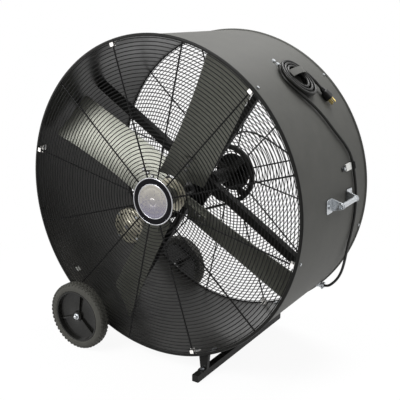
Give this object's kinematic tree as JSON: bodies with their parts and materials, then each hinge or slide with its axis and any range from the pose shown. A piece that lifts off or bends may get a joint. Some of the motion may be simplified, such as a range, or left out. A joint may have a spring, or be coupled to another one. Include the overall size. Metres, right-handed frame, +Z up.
{
  "type": "drum fan",
  "caption": "Belt-drive drum fan on a foot bar and two wheels, with wire guards, sheet-metal blades, a tilt handle and its cord hung in a hank.",
  "frame": {"origin": "middle of the fan's box on the floor, between the front and rear rims and under the middle of the drum and handle", "axes": "X to the fan's left-hand side seen from behind it, which is the right-hand side seen from the front; Y along the fan's axis to the rear, so the air leaves towards -Y; Z up"},
  "size_m": [1.167, 0.71, 1.163],
  "materials": {
    "drum_paint": "fine-textured dark grey powder coat",
    "black_paint": "satin black powder coat",
    "blade_paint": "satin charcoal enamel",
    "motor_paint": "satin black enamel",
    "zinc": "bright zinc plate",
    "steel": "turned bright steel",
    "cast_metal": "painted cast iron",
    "badge_metal": "brushed, with a black ring",
    "belt_rubber": "matt",
    "tyre_rubber": "matt, lightly dusty",
    "wheel_plastic": "moulded, fine grain",
    "black_plastic": "moulded",
    "white_nylon": "satin",
    "cord_jacket": "satin jacket",
    "brass": "bright"
  },
  "bodies": {
    "root": {"drum_shell": "drum_paint", "front_guard": "black_paint", "rear_guard": "black_paint", "guard_badge": "badge_metal", "rear_guard_disc": "black_paint", "guard_clips": "zinc", "guard_screws": "zinc", "strut_upper": "black_paint", "strut_lower": "black_paint", "cross_strut_upper": "black_paint", "cross_strut_lower": "black_paint", "cross_strut_bolts": "zinc", "bearing_plate": "black_paint", "bearing_housing": "black_paint", "front_bearing": "steel", "rear_bearing": "steel", "motor_base": "black_paint", "motor_shell": "motor_paint", "motor_front_bell": "motor_paint", "motor_rear_bell": "motor_paint", "motor_terminal_box": "motor_paint", "motor_bolts": "zinc", "motor_cable": "cord_jacket", "drive_belt": "belt_rubber", "foot_bar": "black_paint", "foot_end_caps": "black_plastic", "front_leg": "black_paint", "rear_leg": "black_paint", "leg_bolts": "zinc", "wheel_axle": "steel", "axle_bracket_front": "black_paint", "axle_bracket_rear": "black_paint", "axle_bolts": "zinc", "axle_push_nuts": "zinc", "handle_brackets": "zinc", "handle_grip": "zinc", "handle_bolts": "zinc", "cord_clip": "white_nylon", "cord_clip_screw": "zinc", "cord_hook": "drum_paint", "strain_relief": "zinc", "cord_run": "cord_jacket", "cord_hank": "cord_jacket", "cord_tail": "cord_jacket", "plug_body": "black_plastic", "plug_blades": "brass"},
    "fan_rotor": {"fan_shaft": "steel", "fan_hub": "black_paint", "blade_1": "blade_paint", "blade_2": "blade_paint", "blade_3": "blade_paint", "blade_4": "blade_paint", "blade_rivets": "steel", "driven_pulley": "cast_metal"},
    "motor_rotor": {"motor_shaft": "steel", "drive_pulley": "cast_metal"},
    "front_wheel": {"front_wheel_rim": "wheel_plastic", "front_tyre": "tyre_rubber"},
    "rear_wheel": {"rear_wheel_rim": "wheel_plastic", "rear_tyre": "tyre_rubber"}
  },
  "joints": [
    {"name": "fan_spin", "type": "hinge", "parent": "root", "child": "fan_rotor", "pos_m": [-0.0235, 0, 0.603], "axis": [0, 1, 0], "continuous": true},
    {"name": "motor_spin", "type": "hinge", "parent": "root", "child": "motor_rotor", "pos_m": [-0.3035, 0, 0.411], "axis": [0, 1, 0], "continuous": true},
    {"name": "front_wheel_roll", "type": "hinge", "parent": "root", "child": "front_wheel", "pos_m": [-0.33312, 0, 0.128], "axis": [0, 1, 0], "continuous": true},
    {"name": "rear_wheel_roll", "type": "hinge", "parent": "root", "child": "rear_wheel", "pos_m": [-0.33312, 0, 0.128], "axis": [0, 1, 0], "continuous": true}
  ],
  "couplings": [
    {"joint": "motor_spin", "follows": "fan_spin", "ratio": 3.4848}
  ]
}
